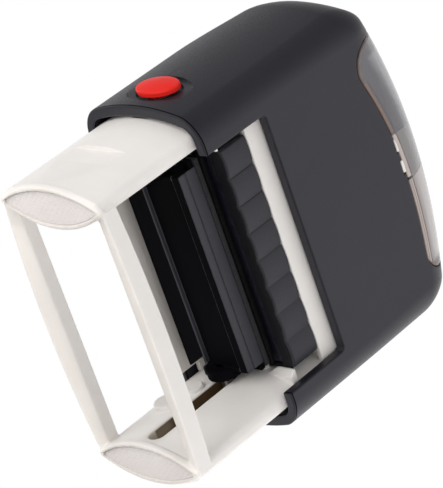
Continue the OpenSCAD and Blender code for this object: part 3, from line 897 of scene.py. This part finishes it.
# ---------------------------------------------------------------- turned and coiled steel
def swept(name, centre, ring, closed=False):
    """a tube through the points of centre; ring gives the section as (radial, axial) pairs about each point"""
    c = np.asarray(centre, float); n = len(c); m = len(ring)
    v = []
    for k in range(n):
        x, y, z, ux, uy = c[k]
        for a, w in ring:
            v.append((x + ux * a, y + uy * a, z + w))
    f = []
    for k in range(n if closed else n - 1):
        k2 = (k + 1) % n
        for i in range(m):
            i2 = (i + 1) % m
            f.append((k * m + i, k2 * m + i, k2 * m + i2, k * m + i2))
    me = bpy.data.meshes.new(name)
    caps = [] if closed else [tuple(range(m - 1, -1, -1)), tuple((n - 1) * m + i for i in range(m))]
    me.from_pydata([tuple(q * MM for q in p) for p in v], [], f + caps)
    me.polygons.foreach_set("use_smooth", np.ones(len(me.polygons), bool))
    for q in me.polygons[len(f):]:
        q.use_smooth = False
    me.update(); me.validate()
    import bmesh
    b = bmesh.new(); b.from_mesh(me); bmesh.ops.recalc_face_normals(b, faces=b.faces); b.to_mesh(me); b.free()
    return me


def return_spring(side, sx):
    z0, h, R, w, turns = DECK_Z + DECK_T, BRIDGE_Z - DECK_Z - DECK_T, 4.0, 0.8, 7
    r = w / 2; n = 40
    pts = []
    for i in range(turns * n + 1):
        t = i / n; d = h - w
        lift = 0.98 * w
        z = lift * t if t < 1 else d - lift * (turns - t) if t > turns - 1 else lift + (d - 2 * lift) * (t - 1) / (turns - 2)
        # ease the pitch in and out of the closed end coils
        a = 2 * math.pi * t
        pts.append([sx * SPRING_X + (R - r - 0.02) * math.cos(a), AY + (R - r - 0.02) * math.sin(a), z0 + r + z, math.cos(a), math.sin(a)])
    P = np.array(pts)
    zz = P[:, 2].copy()
    for _ in range(60):
        zz[1:-1] = 0.25 * zz[:-2] + 0.5 * zz[1:-1] + 0.25 * zz[2:]
    P[:, 2] = zz
    ring = [((r - 0.01) * math.cos(k * math.pi / 6), (r - 0.01) * math.sin(k * math.pi / 6)) for k in range(12)]
    o = add("coil_spring_" + side, swept("coil_" + side, P, ring), "base", ("return_spring_" + side,), M_STEEL)
    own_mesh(o)
    return o


def lathe_x(name, prof, y, z, n=72):
    """a solid of revolution about a line along X; prof is (x, radius) from one end to the other"""
    v = []; f = []
    for x, r in prof:
        for i in range(n):
            a = 2 * math.pi * i / n
            v.append((x * MM, (y + r * math.cos(a)) * MM, (z + r * math.sin(a)) * MM))
    for k in range(len(prof) - 1):
        for i in range(n):
            i2 = (i + 1) % n
            f.append((k * n + i, k * n + i2, (k + 1) * n + i2, (k + 1) * n + i))
    f.append(tuple(range(n - 1, -1, -1))); f.append(tuple((len(prof) - 1) * n + i for i in range(n)))
    me = bpy.data.meshes.new(name)
    me.from_pydata(v, [], f)
    import bmesh
    b = bmesh.new(); b.from_mesh(me); bmesh.ops.recalc_face_normals(b, faces=b.faces); b.to_mesh(me); b.free()
    me.polygons.foreach_set("use_smooth", np.array([len(q.vertices) == 4 for q in me.polygons], bool))
    me.set_sharp_from_angle(angle=math.radians(35))
    me.update()
    return me


for side, sx in (("left", -1), ("right", 1)):
    return_spring(side, sx)
    # pivot pin with a rolled end and a fine waist where it leaves the platen
    prof = [(23.42, 1.45), (23.57, 1.59), (24.5, 1.59), (24.56, 1.53), (24.7, 1.53), (24.76, 1.59), (ARM1 - 0.35, 1.59), (ARM1 - 0.2, 1.53), (ARM1 - 0.02, 1.32)]
    add("pivot_pin_" + side, lathe_x("pin_" + side, [(sx * a, b) for a, b in prof], AY, AZ), "platen_body", ("platen_pin_" + side,), M_STEEL)
    lo = (CX - 2.9, -6.0, BTN_Z - 4.2) if sx > 0 else (-CX - 1.8, -6.0, BTN_Z - 4.2)
    hi = (CX + 1.8, 6.0, BTN_Z + 4.2) if sx > 0 else (-CX + 2.9, 6.0, BTN_Z + 4.2)
    me = solid("button_" + side, f_button, lo, hi, 0.1, 0.45, 0.03)
    add("red_lock_button_" + side, me, "button_" + side, ("lock_button_" + side,), M_RED)
    # wave washer under the cap, split at one side
    pts = []
    for i in range(97):
        a = math.radians(8 + 344 * i / 96)
        pts.append((sx * (CX - 1.125) + 0.04 * math.cos(3 * a), math.cos(a), math.sin(a)))
    v = []; f = []
    for k, (x, c, s_) in enumerate(pts):
        for rr, dx in ((2.42, -0.07), (2.42, 0.07), (3.03, 0.07), (3.03, -0.07)):
            v.append(((x + dx) * MM, rr * c * MM, (BTN_Z + rr * s_) * MM))
    for k in range(96):
        for i in range(4):
            i2 = (i + 1) % 4
            f.append((4 * k + i, 4 * k + 4 + i, 4 * k + 4 + i2, 4 * k + i2))
    f += [(3, 2, 1, 0), (384, 385, 386, 387)]
    me = bpy.data.meshes.new("wave_" + side); me.from_pydata(v, [], f)
    import bmesh
    b = bmesh.new(); b.from_mesh(me); bmesh.ops.recalc_face_normals(b, faces=b.faces); b.to_mesh(me); b.free()
    me.set_sharp_from_angle(angle=math.radians(35))
    add("wave_washer_" + side, me, "case", ("button_spring_" + side,), M_STEEL)


def f_pad(p):
    q = both(p)
    z = q[:, 2]
    d = ri(lens(q, -0.05), np.abs(z - 0.9) - 0.6, 0.12)
    u = (q[:, 0] - FOOT_X)
    for s in (-1, 1):
        w = u * math.cos(math.radians(40)) + s * q[:, 1] * math.sin(math.radians(40))
        g = np.abs(w - np.round(w)) * 1.0
        groove = (g - 0.13) * 0.5 + (z - 0.3) * 0.86
        d = np.maximum(d, -groove)
    return d


for side, sx in (("left", -1), ("right", 1)):
    lo = (26, -13.6, 0.2) if sx > 0 else (-33.5, -13.6, 0.2)
    hi = (33.5, 13.6, 1.6) if sx > 0 else (-26, 13.6, 1.6)
    me = solid("pad_" + side, f_pad, lo, hi, 0.14, 0.4, 0.03)
    add("grip_pad_" + side, me, "base", ("foot_pad_" + side,), M_PAD)

for n, mat in (("base_frame", M_WHITE), ("foot_pad_left", M_PAD), ("foot_pad_right", M_PAD), ("ink_tray", M_DARK), ("ink_felt", M_FELT),
               ("platen", M_BLACK), ("plate_cushion", M_FOAM), ("text_plate", M_RUBBER), ("platen_pin_left", M_STEEL), ("platen_pin_right", M_STEEL),
               ("drive_yoke", M_WHITE), ("return_spring_left", M_STEEL), ("return_spring_right", M_STEEL), ("case_shell", M_CASE),
               ("index_card", M_CARD), ("index_window", M_SMOKE), ("lock_button_left", M_RED), ("lock_button_right", M_RED),
               ("button_spring_left", M_STEEL), ("button_spring_right", M_STEEL)):
    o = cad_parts[n]
    for s in o.material_slots:
        s.material = mat
    if not o.material_slots:
        o.data.materials.append(mat)

# ---------------------------------------------------------------- stage and light
def floor():
    me = bpy.data.meshes.new("floor")
    s = 0.9
    me.from_pydata([(-s, -s, 0), (s, -s, 0), (s, s, 0), (-s, s, 0)], [], [(0, 1, 2, 3)])
    m, t, b = material("floor")
    geo = node(t, "ShaderNodeNewGeometry")
    tr = node(t, "ShaderNodeBsdfTransparent")
    mx = node(t, "ShaderNodeMixShader")
    out = t.nodes["Material Output"]
    n = noise(t, obj_coord(t), 30, 3, 0.5)
    t.links.new(ramp(t, n, [(0.3, (0.86, 0.86, 0.86)), (0.7, (0.89, 0.89, 0.89))]), b.inputs["Base Color"])
    b.inputs["Roughness"].default_value = 0.8
    t.links.new(geo.outputs["Backfacing"], mx.inputs["Fac"])
    t.links.new(b.outputs["BSDF"], mx.inputs[1])
    t.links.new(tr.outputs["BSDF"], mx.inputs[2])
    t.links.new(mx.outputs["Shader"], out.inputs["Surface"])
    me.materials.append(m)
    o = bpy.data.objects.new("floor", me)
    bpy.context.collection.objects.link(o)
    o.visible_shadow = False
    return o


floor()

world = bpy.data.worlds.new("world")
bpy.context.scene.world = world
world.use_nodes = True
wt = world.node_tree
wt.nodes.clear()
CAMR = cam.matrix_world.to_3x3()
MID = Vector((0, 0, 0.045))
# an even surround that is dim overhead (as seen in the rest view)
out = wt.nodes.new("ShaderNodeOutputWorld")
bg1 = wt.nodes.new("ShaderNodeBackground"); bg1.inputs["Color"].default_value = (1.0, 0.995, 1.0, 1)
bg2 = wt.nodes.new("ShaderNodeBackground"); bg2.inputs["Strength"].default_value = 1.0
bg2.inputs["Color"].default_value = (1, 1, 1, 1)
tc = wt.nodes.new("ShaderNodeTexCoord")
dim = (CAMR @ Vector((0.10, 0.95, -0.05))).normalized()
dot = wt.nodes.new("ShaderNodeVectorMath"); dot.operation = "DOT_PRODUCT"
dot.inputs[1].default_value = tuple(dim)
wt.links.new(tc.outputs["Generated"], dot.inputs[0])
mr = wt.nodes.new("ShaderNodeMapRange"); mr.interpolation_type = "SMOOTHSTEP"
for k, v in (("From Min", 0.10), ("From Max", 0.75), ("To Min", 1.15), ("To Max", 0.45)):
    mr.inputs[k].default_value = v
wt.links.new(dot.outputs["Value"], mr.inputs["Value"])
wt.links.new(mr.outputs["Result"], bg1.inputs["Strength"])
lp = wt.nodes.new("ShaderNodeLightPath")
mx = wt.nodes.new("ShaderNodeMixShader")
wt.links.new(lp.outputs["Is Camera Ray"], mx.inputs["Fac"])
wt.links.new(bg1.outputs[0], mx.inputs[1])
wt.links.new(bg2.outputs[0], mx.inputs[2])
wt.links.new(mx.outputs[0], out.inputs["Surface"])


def softbox(name, d, size, radiance, dist=0.6):
    """d is the way to the light as (right, up, towards the camera) in the rest view"""
    w = (CAMR @ Vector(d)).normalized()
    L = bpy.data.lights.new(name, "AREA")
    L.shape = "RECTANGLE"; L.size, L.size_y = size
    L.energy = radiance * math.pi * size[0] * size[1]
    o = bpy.data.objects.new(name, L)
    bpy.context.collection.objects.link(o)
    o.location = MID + w * dist
    o.rotation_euler = (-w).to_track_quat("-Z", "Y").to_euler()
    o.visible_camera = False
    return o


softbox("key_left", (-0.75, 0.35, 0.55), (0.5, 0.5), 2.5)
